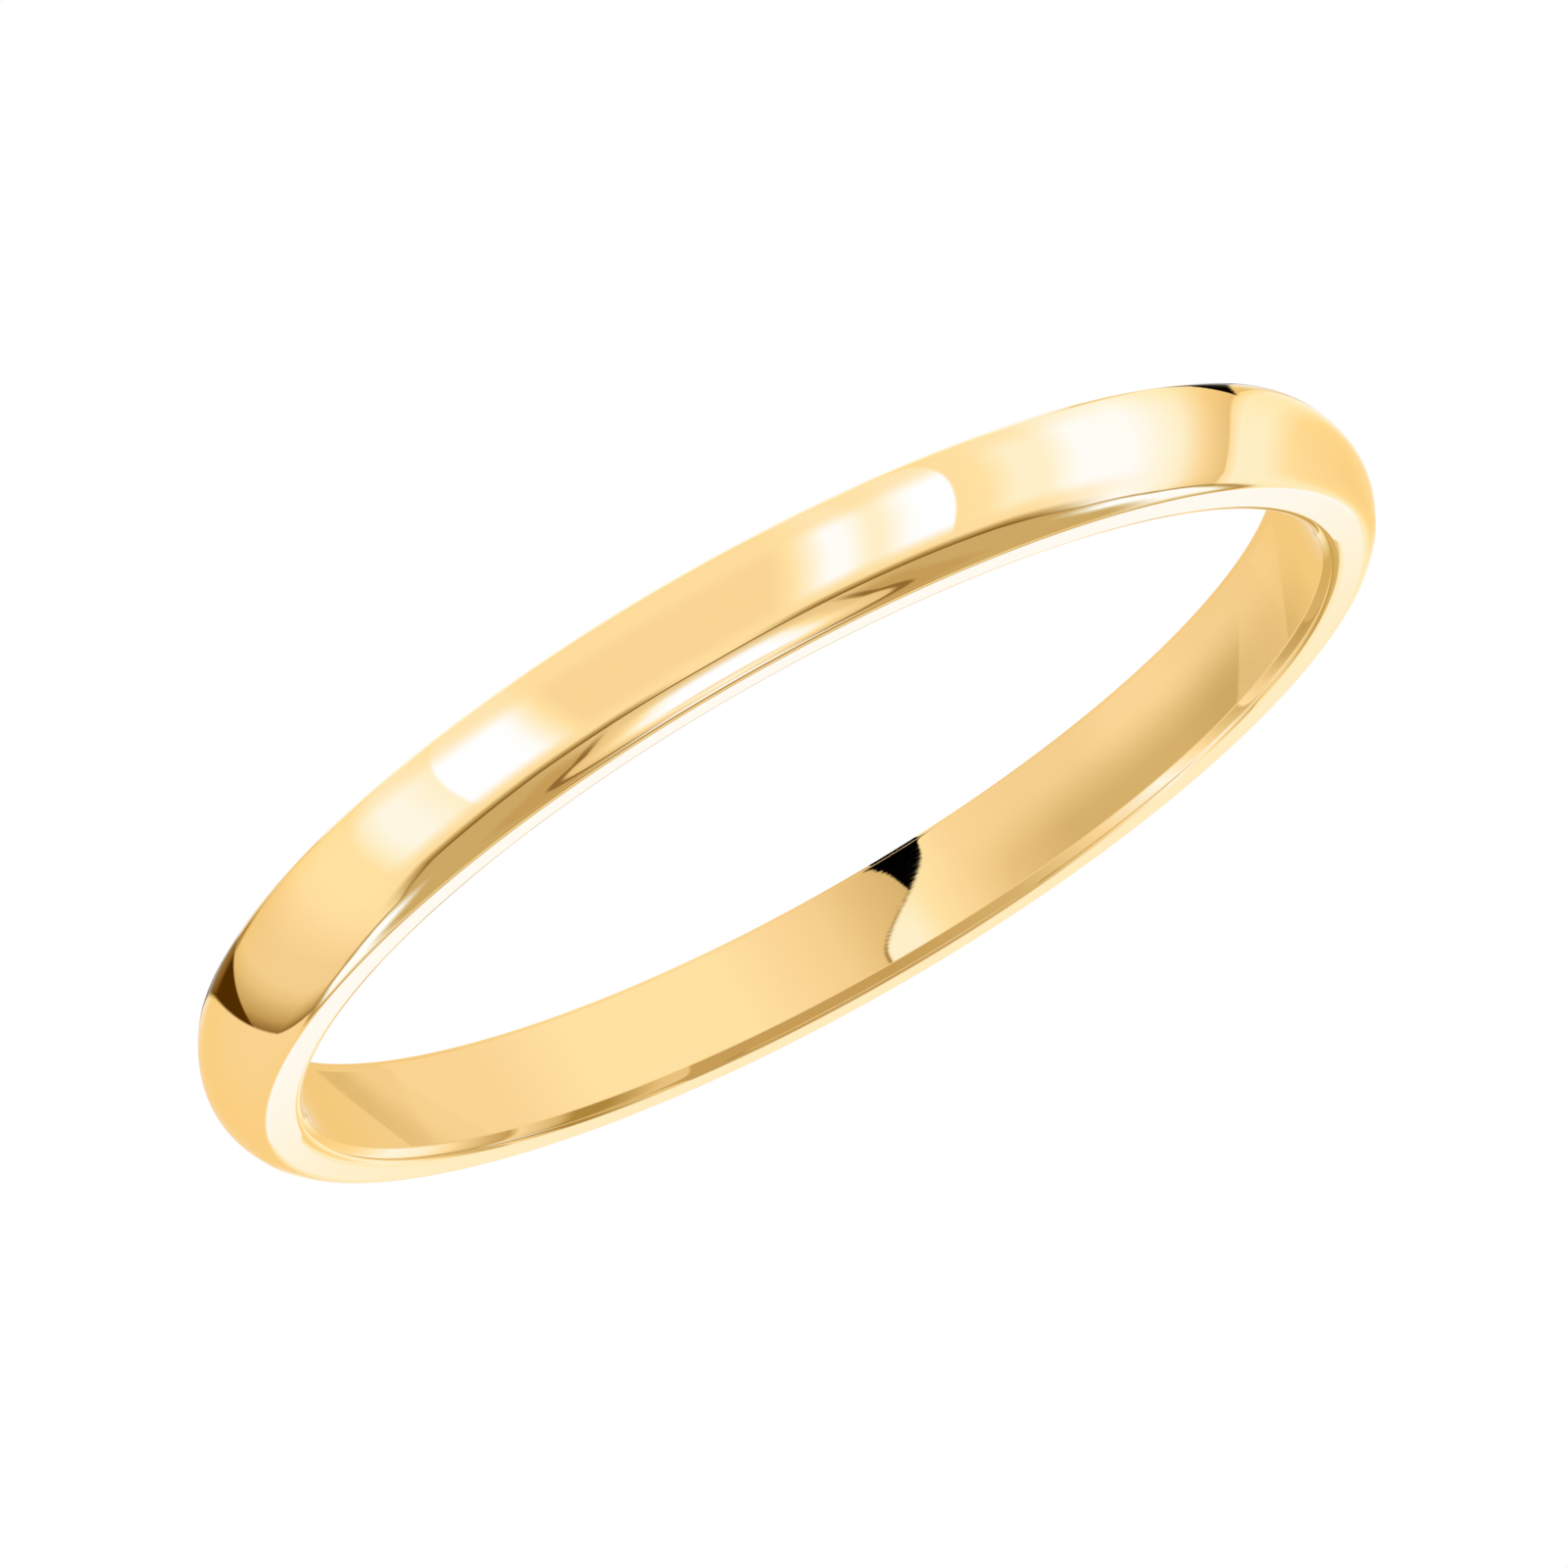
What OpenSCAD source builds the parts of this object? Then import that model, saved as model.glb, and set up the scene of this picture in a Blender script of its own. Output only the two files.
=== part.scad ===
// Plain polished wedding band, made in one piece.
// The band lies flat: its axis is Z and the origin is at the centre of the ring.
// Its cross-section is drawn with the distance from the axis along X and the height
// along Y, and is then turned once round the axis.

/* [Finger hole] */
// Inside diameter, which sets the finger size
bore_d = 17.35; // [14:0.05:23]
// Radius that rounds the inner edge on each side
inner_edge_r = 0.2; // [0.05:0.01:0.4]

/* [Band] */
// Width of the band along the finger
band_w = 1.8; // [1.2:0.1:2.3]
// Thickness of the metal from the finger hole to the crown
wall_t = 1.2; // [0.9:0.05:2]

/* [Outer face] */
// Radius of the low dome, measured across the width of the band
dome_r = 1.22; // [1:0.02:6]
// Radius of the shoulder that blends the dome into each side face
shoulder_r = 0.42; // [0.1:0.02:0.6]

/* [Hidden] */
$fn = 180;

bore_r = bore_d / 2;
crown_r = bore_r + wall_t;
half_w = band_w / 2;
dome_x = crown_r - dome_r;

// Centre of the upper shoulder arc, which touches the dome from inside and the side face
shoulder_y = half_w - shoulder_r;
shoulder_x = dome_x + sqrt(pow(dome_r - shoulder_r, 2) - pow(shoulder_y, 2));

// Slope of the line through both centres, on which the dome meets the shoulder
shoulder_a = atan2(shoulder_y, shoulder_x - dome_x);
dome_end = polar([dome_x, 0], dome_r, shoulder_a);

// Centre of the upper inner edge arc, which touches the finger hole and the side face
inner_x = bore_r + inner_edge_r;
inner_y = half_w - inner_edge_r;

// How far each rounded part laps into the straight-sided outline
lap = min(inner_edge_r, shoulder_r) / 2;

// Point at a distance and angle from a centre
function polar(centre, r, a) = centre + r * [cos(a), sin(a)];

// The matching point in the other half of the width
function below(p) = [p[0], -p[1]];

// Rounded part: the edge of a disc between two angles up to 120 degrees apart
module arc_edge(centre, r, a0, a1) {
    intersection() {
        translate(centre) circle(r = r);
        polygon([
            polar(centre, r - lap, a0),
            polar(centre, 3 * r, a0),
            polar(centre, 3 * r, a1),
            polar(centre, r - lap, a1)
        ]);
    }
}

// Rounded corners of one side: the shoulder outside and the edge of the finger hole
module corners() {
    arc_edge([shoulder_x, shoulder_y], shoulder_r, shoulder_a, 90);
    arc_edge([inner_x, inner_y], inner_edge_r, 90, 180);
}

// Straight-sided outline through the ends of all the arcs
module core() {
    polygon([
        [bore_r, -inner_y],
        [inner_x, -half_w],
        [shoulder_x, -half_w],
        below(dome_end),
        dome_end,
        [shoulder_x, half_w],
        [inner_x, half_w],
        [bore_r, inner_y]
    ]);
}

// Cross-section: low dome outside, flat sides, straight finger hole
module section() {
    core();
    arc_edge([dome_x, 0], dome_r, -shoulder_a, shoulder_a);
    corners();
    mirror([0, 1]) corners();
}

// The whole ring, with no joint or seam
module band() {
    color("#EDC579") rotate_extrude($fn = 360) section();
}

band();
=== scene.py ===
import math

import bpy
import numpy as np
from mathutils import Matrix, Vector


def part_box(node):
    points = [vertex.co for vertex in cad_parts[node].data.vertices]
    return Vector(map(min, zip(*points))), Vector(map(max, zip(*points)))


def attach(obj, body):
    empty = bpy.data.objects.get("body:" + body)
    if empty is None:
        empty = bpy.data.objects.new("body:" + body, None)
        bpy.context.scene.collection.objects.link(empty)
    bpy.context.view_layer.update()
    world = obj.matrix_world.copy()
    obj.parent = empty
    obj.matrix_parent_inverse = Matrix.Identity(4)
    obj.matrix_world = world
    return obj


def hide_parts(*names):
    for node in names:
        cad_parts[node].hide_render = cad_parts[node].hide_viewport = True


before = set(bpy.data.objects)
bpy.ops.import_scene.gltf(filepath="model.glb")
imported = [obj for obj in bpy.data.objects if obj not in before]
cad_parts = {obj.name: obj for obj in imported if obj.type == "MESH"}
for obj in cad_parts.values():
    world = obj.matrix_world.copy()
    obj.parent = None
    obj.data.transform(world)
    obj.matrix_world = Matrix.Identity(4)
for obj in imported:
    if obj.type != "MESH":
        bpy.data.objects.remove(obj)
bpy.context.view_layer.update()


# ---------------------------------------------------------------------------------------------
# The band: one closed hoop of yellow gold, turned or rolled to a low D section and finished on
# felt wheels. It has a domed outside, small rounded shoulders, a narrow flat side face above and
# below, and a straight finger hole whose two edges are softened.
# ---------------------------------------------------------------------------------------------

MM = 0.001

high_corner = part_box("band")[1]
CROWN_RADIUS = 9.875 * MM      # centre of the hole to the top of the dome
HALF_WIDTH = high_corner.z     # half of the band's width, 0.9 mm
BORE_RADIUS = 8.675 * MM       # a finger hole 17.35 mm across
DOME_RADIUS = 1.22 * MM        # bend of the domed outside, across the band
SHOULDER_RADIUS = 0.42 * MM    # bend between the dome and the side face
INNER_EDGE_RADIUS = 0.2 * MM   # softened edge of the finger hole
STEPS_ROUND = 720              # faces round the hoop, then over the dome, a shoulder and an edge
DOME_STEPS = 36
SHOULDER_STEPS = 18
EDGE_STEPS = 14


def arc(center, radius, start, end, steps):
    """Points and outward normals of a circular arc in the section: point = centre + radius *
    (cos a, sin a), with a going evenly from start to end, both ends included."""
    angle = np.linspace(start, end, steps + 1)
    normal = np.stack([np.cos(angle), np.sin(angle)], axis=1)
    return np.asarray(center) + radius * normal, normal


def band_section():
    """The band's closed section as (distance from the axis, height). Dome and shoulder touch where
    their centres and the join lie on one line, which gives the angle at which one hands over. The
    flat side faces and the straight wall are the gaps between the arcs."""
    dome = (CROWN_RADIUS - DOME_RADIUS, 0.0)
    shoulder_height = HALF_WIDTH - SHOULDER_RADIUS
    reach = DOME_RADIUS - SHOULDER_RADIUS
    join = math.asin(shoulder_height / reach)
    shoulder_out = dome[0] + reach * math.cos(join)
    edge_out = BORE_RADIUS + INNER_EDGE_RADIUS
    edge_height = HALF_WIDTH - INNER_EDGE_RADIUS
    quarter = math.pi / 2
    crown, crown_normal = arc(dome, DOME_RADIUS, -join, join, DOME_STEPS)
    parts = [
        (crown[1:-1], crown_normal[1:-1]),
        arc((shoulder_out, shoulder_height), SHOULDER_RADIUS, join, quarter, SHOULDER_STEPS),
        arc((edge_out, edge_height), INNER_EDGE_RADIUS, quarter, 2 * quarter, EDGE_STEPS),
        arc((edge_out, -edge_height), INNER_EDGE_RADIUS, 2 * quarter, 3 * quarter, EDGE_STEPS),
        arc(
            (shoulder_out, -shoulder_height), SHOULDER_RADIUS,
            3 * quarter, 4 * quarter - join, SHOULDER_STEPS,
        ),
    ]
    points = np.concatenate([part[0] for part in parts])
    normals = np.concatenate([part[1] for part in parts])
    return points, normals


def turned_hoop(name, points, normals, steps):
    """Carries a closed section once round the Z axis: the point at angle t is (r cos t, r sin t, z),
    and its normal turns with it. The last ring of faces joins the first, so there is no seam."""
    turn = np.linspace(0, 2 * math.pi, steps, endpoint=False)[:, None]
    around = np.stack([np.cos(turn), np.sin(turn)], axis=-1)
    count = len(points)
    place, facing = [
        np.concatenate([around * pair[:, :1], np.broadcast_to(pair[:, 1:], (steps, count, 1))], axis=-1)
        for pair in (points, normals)
    ]
    ring, spot = np.meshgrid(np.arange(steps), np.arange(count), indexing="ij")
    next_ring = (ring + 1) % steps
    next_spot = (spot + 1) % count
    here = ring * count
    beyond = next_ring * count
    faces = np.stack([here + spot, beyond + spot, beyond + next_spot, here + next_spot], axis=-1)
    mesh = bpy.data.meshes.new(name)
    mesh.from_pydata(place.reshape(-1, 3).tolist(), [], faces.reshape(-1, 4).tolist())
    mesh.polygons.foreach_set("use_smooth", np.ones(len(mesh.polygons), bool))
    mesh.normals_split_custom_set_from_vertices(facing.reshape(-1, 3).tolist())
    piece = bpy.data.objects.new(name, mesh)
    bpy.context.scene.collection.objects.link(piece)
    return piece


def linear(hex_colour):
    """An sRGB hex colour such as "FFDEA0" as linear red, green and blue."""
    channels = [int(hex_colour[i:i + 2], 16) / 255 for i in (0, 2, 4)]
    return np.array([c / 12.92 if c <= 0.04045 else ((c + 0.055) / 1.055) ** 2.4 for c in channels])


def node(tree, kind, settings=None, inputs=None, links=None):
    """Adds one node to a tree: settings are its properties, inputs are socket values, and links are
    input socket: (node, output socket)."""
    made = tree.nodes.new(kind)
    for name, value in (settings or {}).items():
        setattr(made, name, value)
    for name, value in (inputs or {}).items():
        made.inputs[name].default_value = value
    for name, (source, output) in (links or {}).items():
        tree.links.new(source.outputs[output], made.inputs[name])
    return made


# Polished yellow gold, buffed with rouge on a felt wheel while the band turns. It reads as a clean
# mirror, and close up it has hair-fine lines that run round the hoop and faint clouds where the
# wheel pressed harder. Real rouge lines are under 0.001 mm apart; they are drawn 0.03 mm apart,
# because finer ones don't show.
GOLD = "FFDEA0"
EDGE_GOLD = "FFEDC0"           # gold stays warm where it is seen at a glancing angle
LINE_SPACING = 0.03 * MM
LINE_DEPTH = 0.002 * MM
CLOUD_SIZE = 1.6 * MM          # about the width of a felt wheel's edge
SMOOTHEST = 0.008              # roughness where the wheel pressed evenly, and where it left lines
ROUGHEST = 0.035


def polished_yellow_gold():
    """Smooth metal whose roughness rises where a line and a cloud meet: noise of (distance from the
    axis, height) for the lines, times noise of the place for the clouds."""
    material = bpy.data.materials.new("polished_yellow_gold")
    material.use_nodes = True
    tree = material.node_tree
    tree.nodes.clear()
    place = node(tree, "ShaderNodeTexCoord")
    split = node(tree, "ShaderNodeSeparateXYZ", links={"Vector": (place, "Object")})
    flat = node(tree, "ShaderNodeCombineXYZ", links={"X": (split, "X"), "Y": (split, "Y")})
    radius = node(tree, "ShaderNodeVectorMath", {"operation": "LENGTH"}, links={0: (flat, "Vector")})
    # lines that run round the hoop depend only on the distance from the axis and on the height
    section = node(tree, "ShaderNodeCombineXYZ", links={"X": (radius, "Value"), "Y": (split, "Z")})
    lines = node(
        tree, "ShaderNodeTexNoise", {"noise_dimensions": "2D"},
        {"Scale": 1 / LINE_SPACING, "Detail": 3.0, "Roughness": 0.6}, {"Vector": (section, "Vector")},
    )
    clouds = node(
        tree, "ShaderNodeTexNoise", {"noise_dimensions": "3D"},
        {"Scale": 1 / CLOUD_SIZE, "Detail": 2.0}, {"Vector": (place, "Object")},
    )
    worn = node(
        tree, "ShaderNodeMath", {"operation": "MULTIPLY"}, links={0: (lines, "Fac"), 1: (clouds, "Fac")},
    )
    gloss = node(
        tree, "ShaderNodeMapRange",
        inputs={"From Min": 0.1, "From Max": 0.45, "To Min": SMOOTHEST, "To Max": ROUGHEST},
        links={"Value": (worn, "Value")},
    )
    relief = node(
        tree, "ShaderNodeBump",
        inputs={"Strength": 0.02, "Distance": LINE_DEPTH},
        links={"Height": (lines, "Fac")},
    )
    shader = node(
        tree, "ShaderNodeBsdfPrincipled",
        inputs={
            "Base Color": (*linear(GOLD), 1.0),
            "Metallic": 1.0,
            "Specular Tint": (*linear(EDGE_GOLD), 1.0),
        },
        links={"Roughness": (gloss, "Result"), "Normal": (relief, "Normal")},
    )
    node(tree, "ShaderNodeOutputMaterial", links={"Surface": (shader, "BSDF")})
    return material


section_points, section_normals = band_section()
band = turned_hoop("band_polished", section_points, section_normals, STEPS_ROUND)
band.data.materials.append(polished_yellow_gold())
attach(band, "root")
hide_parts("band")


# ---------------------------------------------------------------------------------------------
# The floor: a lit white sheet of acrylic, as on a jeweller's light table. It glows an even white,
# so the band throws no shadow on it, and the gold doesn't mirror it but the tent round it.
# ---------------------------------------------------------------------------------------------

FLOOR_RADIUS = 0.5
WHITE = "FFFFFF"


def glowing(name, colour):
    """Material that gives off one even colour."""
    material = bpy.data.materials.new(name)
    material.use_nodes = True
    tree = material.node_tree
    tree.nodes.clear()
    light = node(tree, "ShaderNodeEmission", inputs={"Color": (*colour, 1.0)})
    node(tree, "ShaderNodeOutputMaterial", links={"Surface": (light, "Emission")})
    return material


def round_sheet(name, radius, height, rings, steps):
    """A flat disc facing up: the point at ring i and angle t is (i r cos t, i r sin t, height)."""
    share = np.linspace(0, 1, rings + 1)[1:, None]
    turn = np.linspace(0, 2 * math.pi, steps, endpoint=False)[None, :]
    reach = radius * share
    level = np.full((rings, steps), height)
    circles = np.stack([reach * np.cos(turn), reach * np.sin(turn), level], axis=-1)
    points = np.concatenate([[[0, 0, height]], circles.reshape(-1, 3)])
    spot = np.arange(steps)
    after = (spot + 1) % steps
    middle = np.stack([0 * spot, 1 + spot, 1 + after], axis=-1)
    ring = np.arange(rings - 1)[:, None] * steps + 1
    quads = np.stack([ring + spot, ring + steps + spot, ring + steps + after, ring + after], axis=-1)
    mesh = bpy.data.meshes.new(name)
    mesh.from_pydata(points.tolist(), [], middle.tolist() + quads.reshape(-1, 4).tolist())
    sheet = bpy.data.objects.new(name, mesh)
    bpy.context.scene.collection.objects.link(sheet)
    return sheet


floor = round_sheet("floor", FLOOR_RADIUS, -HALF_WIDTH, 4, 96)
floor.data.materials.append(glowing("lit_white_acrylic", linear(WHITE)))
floor.visible_glossy = False
floor.visible_diffuse = False
floor.visible_shadow = False

world = bpy.data.worlds.new("studio_white")
world.use_nodes = True
world.node_tree.nodes["Background"].inputs["Color"].default_value = (1.0, 1.0, 1.0, 1.0)
bpy.context.scene.world = world


# ---------------------------------------------------------------------------------------------
# The camera: a long lens a hand's breadth away, 16 degrees above the side face, rolled so that
# the band lies across the view with its near side up.
# ---------------------------------------------------------------------------------------------

CAMERA_DISTANCE = 163.8 * MM
CAMERA_LENS = 251.6
SENSOR = 36.0
CAMERA_HEIGHT = math.radians(16.14)
CAMERA_ROLL = math.radians(30)
CAMERA_SHIFT = (-0.0052, 0.0057)

to_camera = Vector((0, -math.cos(CAMERA_HEIGHT), math.sin(CAMERA_HEIGHT)))
long_axis = Vector((-1, 0, 0))
short_axis = Vector((0, math.sin(CAMERA_HEIGHT), math.cos(CAMERA_HEIGHT)))
view_right = math.cos(CAMERA_ROLL) * long_axis + math.sin(CAMERA_ROLL) * short_axis
view_down = -math.sin(CAMERA_ROLL) * long_axis + math.cos(CAMERA_ROLL) * short_axis

lens = bpy.data.cameras.new("camera")
lens.sensor_width = SENSOR
lens.lens = CAMERA_LENS
lens.clip_start = 0.01
lens.clip_end = 10.0
lens.shift_x, lens.shift_y = CAMERA_SHIFT
camera = bpy.data.objects.new("camera", lens)
bpy.context.scene.collection.objects.link(camera)
turned = Matrix((view_right, -view_down, to_camera)).transposed().to_4x4()
turned.translation = to_camera * CAMERA_DISTANCE
camera.matrix_world = turned
bpy.context.scene.camera = camera


# ---------------------------------------------------------------------------------------------
# The light tent: a round cloth tent, 0.6 m from the band, that the gold mirrors. Its wall has two
# warm and white striped sides, with dark cloth behind its back openings, and its roof is sewn on
# above a dark seam. Azimuth 0 is the camera's side, and + is towards the camera's right.
# ---------------------------------------------------------------------------------------------

TENT_RADIUS = 0.6

# A look is the colour that this gold has where it mirrors a cloth, and the light that the cloth
# gives off is worked out from it. The cloths run from the darkest to the palest, up to WHITE.
UMBER = "936B31"
BRONZE = "AE863C"
OCHRE = "C69C56"
TAN = "CDA864"
HONEY = "D6B06B"
AMBER = "E8C17C"
WARM = "F4CE8D"
GOLDEN = "FAD494"
STRAW = "FFDD9E"
BUTTER = "FFE1A2"
CREAM = "FEEFC8"
SHELL = "FEF6E1"
IVORY = "FFFCF5"

# The cloths along the hoops on the right, in degrees from the front to the middle of the hoops. Two
# stops close together are the edge of a panel.
RIGHT_LOOKS = [
    (0, GOLDEN), (13, GOLDEN), (17, BUTTER), (24, IVORY), (27, IVORY), (32, CREAM), (34, CREAM),
    (39, IVORY), (42, WHITE), (47.8, WHITE), (48.2, STRAW), (54, BUTTER), (60, CREAM), (66, CREAM),
    (73, IVORY), (84, IVORY), (96, CREAM), (102, GOLDEN), (107.8, AMBER), (108.2, STRAW),
    (111, CREAM), (118, CREAM), (127, STRAW), (150, GOLDEN),
]
# The same on the left.
LEFT_LOOKS = [
    (0, GOLDEN), (24, GOLDEN), (27, BUTTER), (33, IVORY), (36, WHITE), (48.6, WHITE), (49.4, CREAM),
    (57, SHELL), (62, SHELL), (66, CREAM), (70, BUTTER), (78, BUTTER), (84, STRAW), (90, GOLDEN),
    (96, WARM), (104, WARM), (108, AMBER), (111, HONEY), (114, OCHRE), (117.6, UMBER),
    (118.2, GOLDEN), (168, GOLDEN),
]


def separation(azimuth, elevation, to_azimuth, to_elevation):
    """Angle in degrees between two directions, from the cosine rule on a sphere."""
    a, b = np.radians(elevation), np.radians(to_elevation)
    turn = np.radians(azimuth - to_azimuth)
    cosine = np.sin(a) * np.sin(b) + np.cos(a) * np.cos(b) * np.cos(turn)
    return np.degrees(np.arccos(np.clip(cosine, -1, 1)))


def along_hoops(azimuth, elevation, bend, ease, last):
    """How far round the side a direction is, in degrees. Hoop s is the circle on the tent wall that
    crosses the level at azimuth s, round a centre at azimuth 90 + bend s - ease s squared; the hoop
    through each direction is found by halving the range of s."""
    low = np.zeros_like(azimuth)
    high = np.full_like(azimuth, last)
    for _ in range(22):
        s = (low + high) / 2
        middle = 90 + bend * s - ease * s * s
        inside = separation(azimuth, elevation, middle, 4.0) < middle - s
        low = np.where(inside, s, low)
        high = np.where(inside, high, s)
    return (low + high) / 2


# Round openings at the back of the wall and the dark discs of cloth behind them, which show as
# crescents under the openings: azimuth, elevation and radius in degrees.
RIGHT_OPENING = (148.0, 0.0, 31.0)
RIGHT_DISC = (154.0, -12.0, 22.4)
LEFT_OPENING = (-149.7, 4.0, 31.9)
LEFT_DISC = (-148.0, -3.0, 31.0)
LEFT_SHADE = (-152.0, -33.0)    # the middle of a soft shade under the left opening
RIGHT_HOOPS = (0.7, 0.002, 150.0)     # bend, ease and last hoop, as along_hoops takes them
LEFT_HOOPS = (0.6, 0.0008, 168.0)
BACK_LIGHT = np.array([255.0, 256.0, 272.0])   # past white in blue, as gold mirrors less blue there


def outside(azimuth, elevation, circle):
    """Degrees outside a circle on the tent: the separation from its centre, less its radius."""
    return separation(azimuth, elevation, circle[0], circle[1]) - circle[2]


def looks_at(where, stops):
    """sRGB look, 0 to 255, at each position, going evenly from one stop's colour to the next."""
    at = [stop[0] for stop in stops]
    colours = np.array([[int(stop[1][i:i + 2], 16) for i in (0, 2, 4)] for stop in stops], float)
    return np.stack([np.interp(where, at, colours[:, i]) for i in range(3)], axis=-1)


def ramp(value, start, end):
    """0 before start, 1 after end, and a smooth S between."""
    t = np.clip((value - start) / (end - start), 0, 1)
    return t * t * (3 - 2 * t)


def lay_over(look, colour, cover):
    """Hangs a cloth of one colour, or of a colour at each spot, over what is there."""
    if isinstance(colour, str):
        colour = np.array([int(colour[i:i + 2], 16) for i in (0, 2, 4)], float)
    return look + (colour - look) * cover[..., None]


# The tent's wall ends in a dark seam, given as azimuth and elevation.
SEAM = [
    (-180, 24), (-173, 26), (-165, 30), (-155, 36), (-142, 41), (-130, 44.5), (-115, 45.5), (-102, 44.5),
    (-88, 42), (-78, 37.5), (-68, 34), (-55, 34.5), (-40, 35), (-25, 37), (0, 39), (28, 38), (45, 37),
    (62, 37), (75, 39), (97, 42.5), (110, 44), (122, 44), (135, 41), (148, 37.5), (158, 33), (168, 27),
    (175, 25), (180, 24),
]
ROOF_RIB = (113.0, -40.0, 113.0)      # the dark rib across the roof, a circle as above

# The cloths across the roof, from the seam side (below 0) over the dark rib (0) up to the white top.
ROOF_LOOKS = [
    (-30, TAN), (-10, TAN), (-6, OCHRE), (-1.6, OCHRE), (-0.9, UMBER), (0.4, UMBER), (1.4, AMBER),
    (5, WARM), (8, BUTTER), (11, SHELL), (15, WHITE),
]

# Looks up the middle of the back of the roof, by elevation in degrees.
BACK_ROOF_LOOKS = [
    (24, "B08A50"), (28, "E2BC78"), (34, "F6DDA8"), (41, "EFCB88"), (46, "B48A48"), (50, "A87C40"),
    (54, "F0D8A8"), (60, "FFFFFF"),
]


def tent_look(azimuth, elevation):
    """The look of the gold where it mirrors each direction of the tent, as sRGB 0 to 255."""
    side = np.abs(azimuth)
    right = looks_at(along_hoops(side, elevation, *RIGHT_HOOPS), RIGHT_LOOKS)
    left = looks_at(along_hoops(side, elevation, *LEFT_HOOPS), LEFT_LOOKS)
    look = np.where((azimuth > 0)[..., None], right, left)
    front = 1 - ramp(side, 60, 100)

    # the two dark discs
    opening = outside(azimuth, elevation, RIGHT_OPENING)
    disc = outside(azimuth, elevation, RIGHT_DISC)
    black = ramp(opening, -0.2, 0.2) * ramp(-disc, -0.3, 0.3) * (1 - ramp(azimuth, 174.5, 176))
    look = lay_over(look, "080400", black)
    opening = outside(azimuth, elevation, LEFT_OPENING)
    disc = outside(azimuth, elevation, LEFT_DISC)
    look = lay_over(look, "502D00", ramp(opening, -0.2, 0.2) * ramp(-disc, -0.3, 0.3))
    shade = separation(azimuth, elevation, *LEFT_SHADE)
    look = lay_over(look, "9C7238", ramp(opening, -0.2, 0.6) * (1 - ramp(shade, 2, 9)) * 0.8)

    # the panels end above the tent's floor
    look = lay_over(look, "FEDE9F", (1 - ramp(elevation, -68, -42)) * 0.8)

    # pale cloth at the back, low down and at the height that the side face mirrors
    low_back = ramp(side, 150, 172) * ramp(elevation, -74, -50) * (1 - ramp(elevation, -28, -20))
    look = lay_over(look, "FFFDF5", low_back)
    back = ramp(side, 164, 170) * ramp(elevation, -21, -17) * (1 - ramp(elevation, -2, 10))
    look = lay_over(look, "FFFCF4", back)
    back = ramp(side, 168, 174) * ramp(elevation, -6, 0) * (1 - ramp(elevation, 21, 26))
    look = lay_over(look, "FFF1D6", back)
    look = lay_over(look, BACK_LIGHT, back * ramp(elevation, 15.0, 16.6))

    # the wall darkens towards the seam
    seam = np.interp(azimuth, [stop[0] for stop in SEAM], [stop[1] for stop in SEAM])
    below = seam - elevation
    look = lay_over(look, "FEDD9E", (1 - ramp(below, 8, 26)) * front)
    look = lay_over(look, "AC8440", (1 - ramp(below, 1, 8)) * ramp(side, 4, 24) * (1 - ramp(side, 64, 92)))

    # the roof
    rib = outside(side, elevation, ROOF_RIB)
    roof = looks_at(rib, ROOF_LOOKS)
    roof = lay_over(roof, "EAC688", (1 - ramp(elevation, 40, 52)) * (1 - ramp(side, 20, 48)))
    above = ramp(-below, 0.5, 2.5) * (1 - ramp(-below, 6, 11))
    roof = lay_over(roof, "FFFEF8", above * ramp(side, 80, 112) * (1 - ramp(side, 160, 174)))
    back = ramp(side, 162, 176) * (1 - ramp(elevation, 60, 72))
    roof = lay_over(roof, looks_at(elevation, BACK_ROOF_LOOKS), back)
    roof = lay_over(roof, "FCE2B2", ramp(elevation, 80.5, 85.5))
    look = look + (roof - look) * ramp(-below, -0.4, 0.4)[..., None]
    line = np.exp(-((below / 0.8) ** 2))
    look = lay_over(look, "6E4A14", line * (1 - ramp(side, 62, 90)) * 0.9)
    look = lay_over(look, "B08A50", line * ramp(side, 62, 90) * 0.8)
    return look


def tent_radiance(look):
    """Light that this gold mirrors as that look: the look made linear, divided by the gold's colour."""
    share = look / 255
    bright = np.where(share <= 0.04045, share / 12.92, ((share + 0.055) / 1.055) ** 2.4)
    return bright / linear(GOLD)


def lit_sheet(name, points, look):
    """A sheet through a grid of points, with the light for each point's look kept at it. The camera
    doesn't see it, and it faces the cross product of the grid's second and first directions."""
    steps, rows = look.shape[:2]
    ring, spot = np.meshgrid(np.arange(steps - 1), np.arange(rows - 1), indexing="ij")
    corner = ring * rows + spot
    faces = np.stack([corner, corner + 1, corner + rows + 1, corner + rows], axis=-1).reshape(-1, 4)
    mesh = bpy.data.meshes.new(name)
    mesh.vertices.add(steps * rows)
    mesh.vertices.foreach_set("co", points.astype(np.float32).ravel())
    mesh.loops.add(faces.size)
    mesh.loops.foreach_set("vertex_index", faces.astype(np.int32).ravel())
    mesh.polygons.add(len(faces))
    mesh.polygons.foreach_set("loop_start", np.arange(0, faces.size, 4, dtype=np.int32))
    mesh.update(calc_edges=True)
    light = np.concatenate([tent_radiance(look).reshape(-1, 3), np.ones((steps * rows, 1))], axis=1)
    shade = mesh.attributes.new("light", "FLOAT_COLOR", "POINT")
    shade.data.foreach_set("color", light.astype(np.float32).ravel())
    sheet = bpy.data.objects.new(name, mesh)
    bpy.context.scene.collection.objects.link(sheet)
    sheet.visible_camera = False
    sheet.visible_shadow = False
    return sheet


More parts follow.
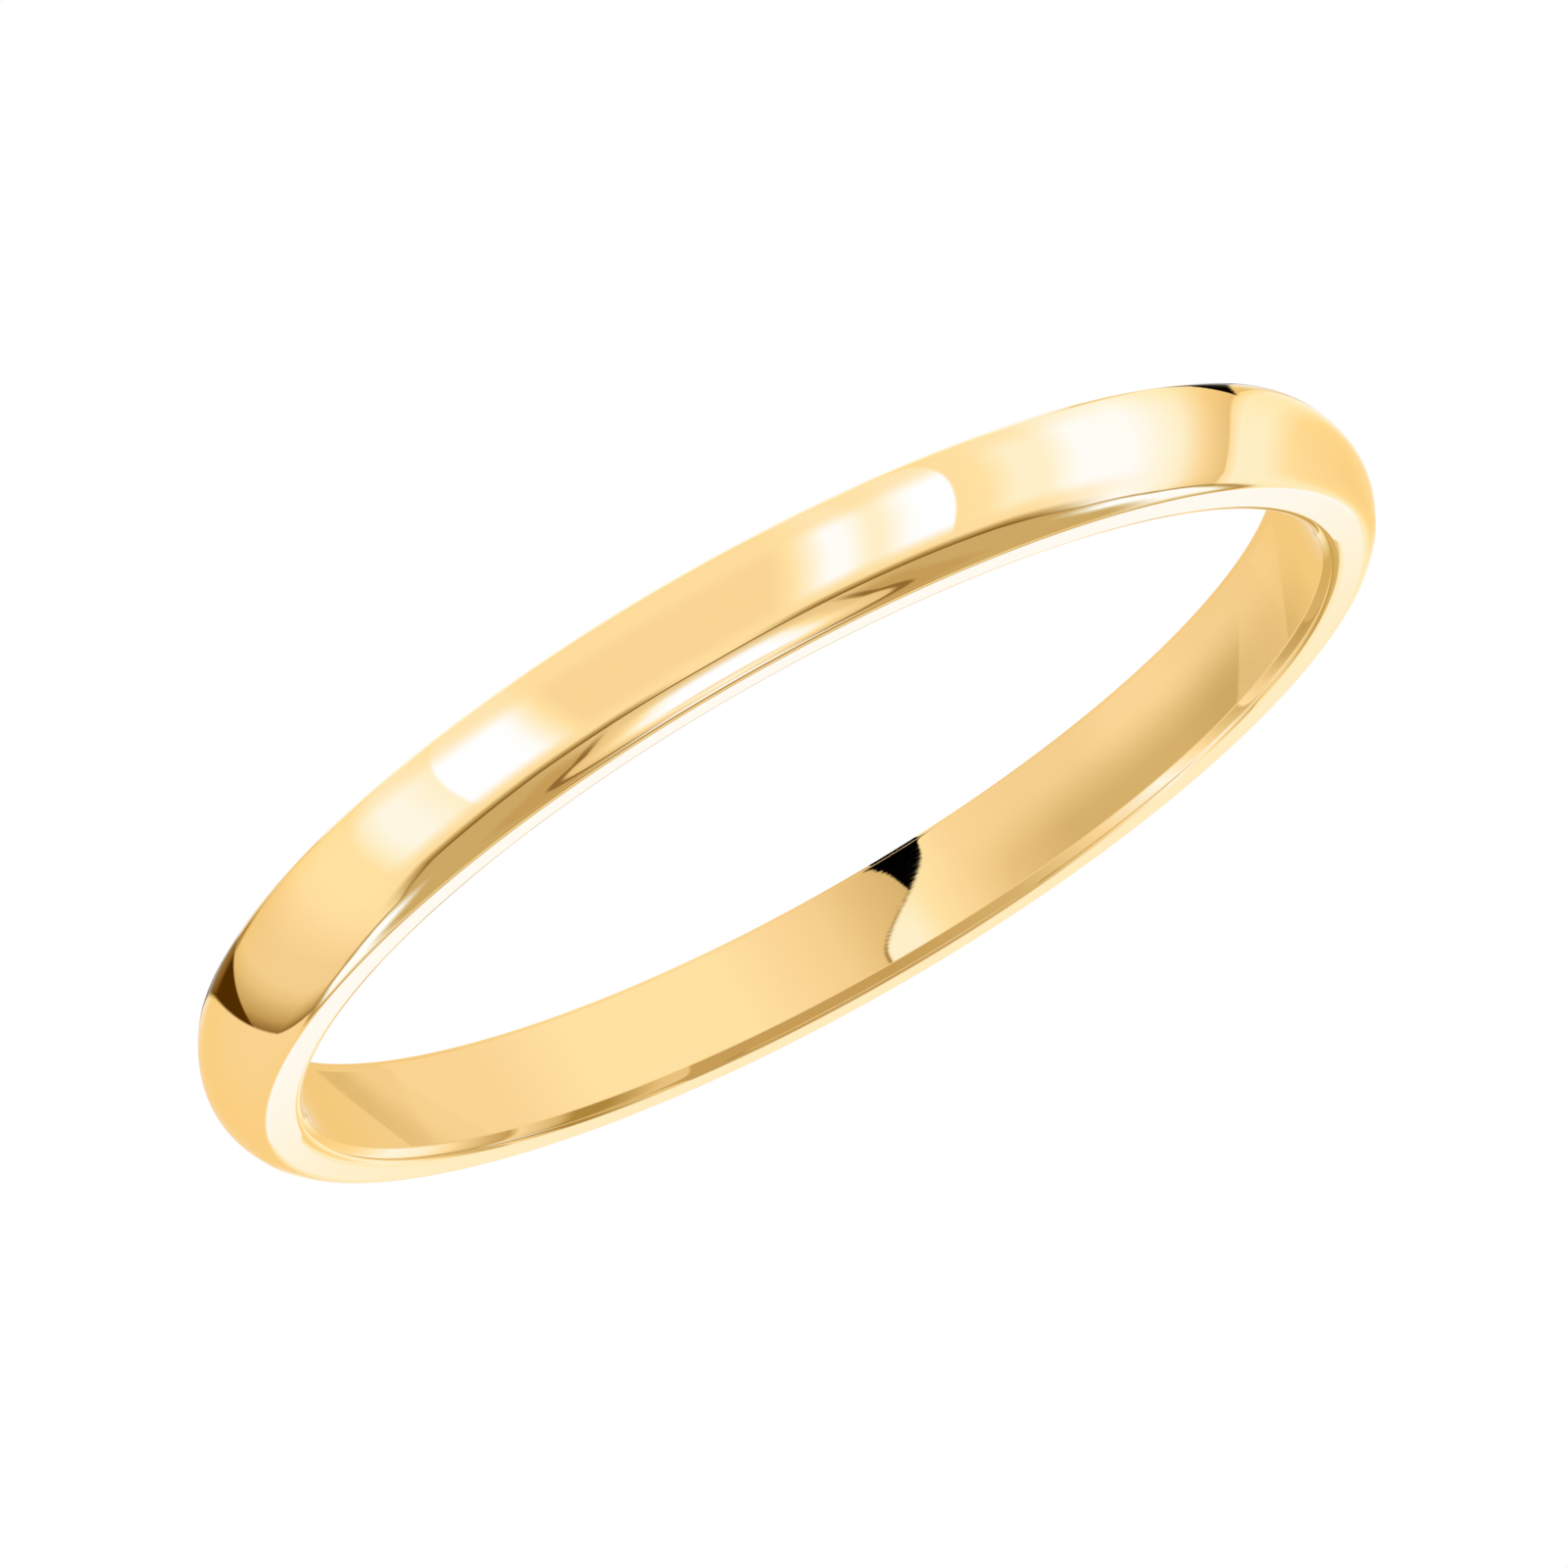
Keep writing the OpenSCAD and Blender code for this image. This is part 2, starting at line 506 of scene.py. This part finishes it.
def tent_cloth():
    """Cloth that gives off the light kept at each of its points."""
    material = bpy.data.materials.new("tent_cloth")
    material.use_nodes = True
    tree = material.node_tree
    tree.nodes.clear()
    light = node(tree, "ShaderNodeAttribute", {"attribute_name": "light"})
    glow = node(tree, "ShaderNodeEmission", links={"Color": (light, "Color")})
    node(tree, "ShaderNodeOutputMaterial", links={"Surface": (glow, "Emission")})
    return material


# The tent is a ball seen from inside: the point at azimuth a and elevation e is radius *
# (-sin a cos e, -cos a cos e, sin e).
azimuth, elevation = np.meshgrid(np.linspace(-180, 180, 1081), np.linspace(-90, 90, 541), indexing="ij")
a, e = np.radians(azimuth), np.radians(elevation)
ball = TENT_RADIUS * np.stack([-np.sin(a) * np.cos(e), -np.cos(a) * np.cos(e), np.sin(e)], axis=-1)
tent = lit_sheet("light_tent", ball, tent_look(azimuth, elevation))
cloth = tent_cloth()
tent.data.materials.append(cloth)


# ---------------------------------------------------------------------------------------------
# The hole collar: glowing card under the finger hole, which the camera doesn't see: a short warm cuff as
# wide as the hole, a plain sleeve in it, and a sheet that glows with a painted reflection, the image that
# the straight inner wall shows to the camera. From the camera, the wall mirrors only these. The painted
# reflection has a pale and a dark side and a black slip where they meet, and all of it is clear from
# outside.
# ---------------------------------------------------------------------------------------------

COLLAR_RADIUS = BORE_RADIUS + 0.02 * MM
COLLAR_DEPTH = 7.0 * MM
CUFF_RADIUS = BORE_RADIUS + 0.05 * MM
SLEEVE_RADIUS = BORE_RADIUS - 0.004 * MM

# The tones of the painted reflection round the wall, by angle in degrees from the middle of its far side.
CARD_LEFT = [
    (-90, WARM), (-59.6, WARM), (-58.8, GOLDEN), (-46, GOLDEN), (-34, BUTTER), (-16, BUTTER),
    (-8, GOLDEN), (-4, WARM), (0, AMBER), (6, HONEY),
]
CARD_RIGHT_LOW = [
    (0, CREAM), (8, BUTTER), (12, GOLDEN), (20, WARM), (28, WARM), (34, GOLDEN), (42, GOLDEN),
    (50, WARM), (90, WARM),
]
CARD_RIGHT_HIGH = [
    (0, CREAM), (4, CREAM), (7, BUTTER), (11, GOLDEN), (16, AMBER), (24, HONEY), (40, HONEY),
    (48, TAN), (54, TAN), (60, HONEY), (69, AMBER), (76, WARM), (90, WARM),
]


def card_look(around, height):
    """The look of the wall's mirror image at an angle round its far side and a height in mm. The two
    sides meet along an S that crosses 8.5 degrees between the wall's edges, and the black slip
    hangs in the lower half from the S to an edge of its own."""
    meeting = 0.1 + 8.5 * ramp(-height, -0.6, 0.68)
    depth = np.clip((-0.16 - height) / 0.66, 0, 1.2)
    slip = 5.5 - 1.6 * depth - 2.2 * depth ** 6
    low = looks_at(around, CARD_RIGHT_LOW)
    high = looks_at(around, CARD_RIGHT_HIGH)
    right = low + (high - low) * ramp(height, -0.45, 0.5)[..., None]
    look = looks_at(around, CARD_LEFT)
    look = look + (right - look) * ramp(around, meeting - 0.08, meeting + 0.08)[..., None]
    line = np.exp(-((around - meeting) / 0.22) ** 2) * ramp(height, -0.3, -0.1)
    look = lay_over(look, "A87C3C", line)
    black = ramp(around, slip - 0.12, slip + 0.12) * (1 - ramp(around, meeting - 0.12, meeting + 0.12))
    return lay_over(look, "000000", black * ramp(-height, 0.14, 0.18))


def one_sided_card():
    """Card that gives off its light on its front only and is clear from behind."""
    material = bpy.data.materials.new("one_sided_card")
    material.use_nodes = True
    tree = material.node_tree
    tree.nodes.clear()
    light = node(tree, "ShaderNodeAttribute", {"attribute_name": "light"})
    glow = node(tree, "ShaderNodeEmission", links={"Color": (light, "Color")})
    clear = node(tree, "ShaderNodeBsdfTransparent")
    behind = node(tree, "ShaderNodeNewGeometry")
    both = node(
        tree, "ShaderNodeMixShader",
        links={0: (behind, "Backfacing"), 1: (glow, "Emission"), 2: (clear, "BSDF")},
    )
    node(tree, "ShaderNodeOutputMaterial", links={"Surface": (both, "Shader")})
    return material


card = one_sided_card()


def ring_card(name, radius, low, high, steps, rows, paint_at, outwards=False):
    """A band of card round the axis that glows inwards, or outwards where asked. The point at angle t
    from the middle of the far side and at share v of the height is (-radius sin t, radius cos t,
    low + v (high - low))."""
    angle, share = np.meshgrid(steps, np.linspace(0, 1, rows), indexing="ij")
    t = np.radians(angle)
    level = low + (high - low) * share
    points = np.stack([-radius * np.sin(t), radius * np.cos(t), level], axis=-1)
    paint = paint_at(angle, level / MM)
    if outwards:
        points = points[::-1]
        paint = paint[::-1]
    sheet = lit_sheet(name, points, paint)
    sheet.data.materials.append(card)
    return sheet


def plain_paint(angle, level):
    """One colour all over."""
    return looks_at(0 * angle, [(0, WARM)])


# A point of the collar is where light leaves for the wall, to be mirrored to the camera: from the
# wall's point, the mirrored line of sight runs across the hole and down to the collar's radius.
around, share = np.meshgrid(np.linspace(-87, 87, 1741), np.linspace(-1, 1, 241), indexing="ij")
middle_part = 1 - ramp(np.abs(around), 40, 58)
height = share * (0.85 + 0.35 * middle_part)   # to 0.85 mm, and to 1.2 mm in the middle part
t = np.radians(around)
wall = np.stack([-BORE_RADIUS * np.sin(t), BORE_RADIUS * np.cos(t), height * MM], axis=-1)
inward = np.stack([np.sin(t), -np.cos(t), 0 * t], axis=-1)
sight = wall - np.array(to_camera * CAMERA_DISTANCE)
mirrored = sight - 2 * (sight * inward).sum(axis=-1, keepdims=True) * inward
across = (mirrored[..., :2] ** 2).sum(axis=-1)
towards = (wall[..., :2] * mirrored[..., :2]).sum(axis=-1)
reach = (np.sqrt(towards ** 2 + across * (COLLAR_RADIUS ** 2 - BORE_RADIUS ** 2)) - towards) / across
collar_points = wall + mirrored * reach[..., None]
collar_points[..., 2] = np.minimum(collar_points[..., 2], -HALF_WIDTH)
# the sheet glows with the painted reflection of the wall, pale and dark sides and black slip
paint = lay_over(card_look(around, height), WARM, ramp(np.abs(share), 0.8, 1.0) * middle_part)
collar = lit_sheet("hole_collar", collar_points, paint)
collar.data.materials.append(card)

collar_foot = -HALF_WIDTH - COLLAR_DEPTH
whole = np.linspace(-180, 180, 361)
ring_card("hole_cuff", CUFF_RADIUS, collar_foot, -HALF_WIDTH, whole, 3, plain_paint)
ring_card("hole_sleeve", SLEEVE_RADIUS, -HALF_WIDTH, HALF_WIDTH, whole, 3, plain_paint)


# ---------------------------------------------------------------------------------------------
# The edge cards: four strips of the same card, two along each softened far edge of the hole. They
# stand so close to the edge that it mirrors only them. The inner strip of a pair glows outwards
# and the outer one inwards, and both are clear from behind.
# ---------------------------------------------------------------------------------------------

EDGE_END_RADIUS = BORE_RADIUS + INNER_EDGE_RADIUS
EDGE_START_HEIGHT = HALF_WIDTH - INNER_EDGE_RADIUS + 0.01 * MM
INNER_STRIP_RADIUS = BORE_RADIUS - 0.075 * MM
HIGH_OUTER_RADIUS = EDGE_END_RADIUS + 0.075 * MM
LOW_OUTER_RADIUS = EDGE_END_RADIUS + 0.025 * MM
HIGH_INNER_HEIGHT = 6 * MM      # above the side face, at the middle of the far side
HIGH_OUTER_HEIGHT = 3 * MM      # at most
LOW_INNER_DEPTH = 3 * MM        # below the lower side face
RIM_PALE = "FFF1D6"

# The tones along the upper far edge, by angle in degrees from the middle of the far side.
EDGE_LOOKS = [
    (-91, CREAM), (-84, GOLDEN), (-74, STRAW), (-66, SHELL), (-60, CREAM), (-56, STRAW), (-47, OCHRE),
    (-45.4, GOLDEN), (-40, HONEY), (-38, BRONZE), (-34, BRONZE), (-27, AMBER), (-24, AMBER),
    (-23.6, OCHRE), (0, OCHRE), (15, HONEY), (26, GOLDEN), (35, SHELL), (41, STRAW), (49, HONEY),
    (49.7, STRAW), (54, WARM), (60, TAN), (66.5, OCHRE), (67.5, HONEY), (82, HONEY), (91, CREAM),
]


def low_edge_paint(angle, level):
    """Goes on from the wall's look at its lower edge."""
    return card_look(angle, -0.7 - 0.1 * np.clip((-level - 0.7) / 0.5, 0, 1))


def high_edge_paint(angle, level):
    """Goes by the angle alone."""
    return looks_at(angle, EDGE_LOOKS)


def high_rim_paint(angle, level):
    """The same, but pale next to the side face."""
    return lay_over(looks_at(angle, EDGE_LOOKS), RIM_PALE, 1 - ramp(level, 0.96, 1.08))


far = np.linspace(-92, 92, 1473)
ring_card(
    "high_edge_inner", INNER_STRIP_RADIUS, EDGE_START_HEIGHT,
    HALF_WIDTH + HIGH_INNER_HEIGHT * np.cos(np.radians(np.clip(far, -87, 87)))[:, None],
    far, 9, high_edge_paint, outwards=True,
)
ring_card(
    "low_edge_inner", INNER_STRIP_RADIUS, -HALF_WIDTH - LOW_INNER_DEPTH, -EDGE_START_HEIGHT,
    far, 33, low_edge_paint, outwards=True,
)
# The light that the near side face mirrors passes over the high outer strip. Over the chord of the
# hole it rises with the camera's height, and the strip reaches 0.8 of that.
chord = 2 * EDGE_END_RADIUS * np.cos(np.radians(np.clip(far, -90, 90)))
strip_height = np.minimum(0.8 * math.tan(CAMERA_HEIGHT) * chord, HIGH_OUTER_HEIGHT)[:, None]
ring_card(
    "high_edge_outer", HIGH_OUTER_RADIUS, HALF_WIDTH, HALF_WIDTH + strip_height,
    far, 61, high_rim_paint,
)
ring_card("low_edge_outer", LOW_OUTER_RADIUS, collar_foot, -HALF_WIDTH, far, 3, low_edge_paint)


# ---------------------------------------------------------------------------------------------
# The finished scene: colours are shown as they are.
# ---------------------------------------------------------------------------------------------

bpy.context.scene.view_settings.view_transform = "Standard"
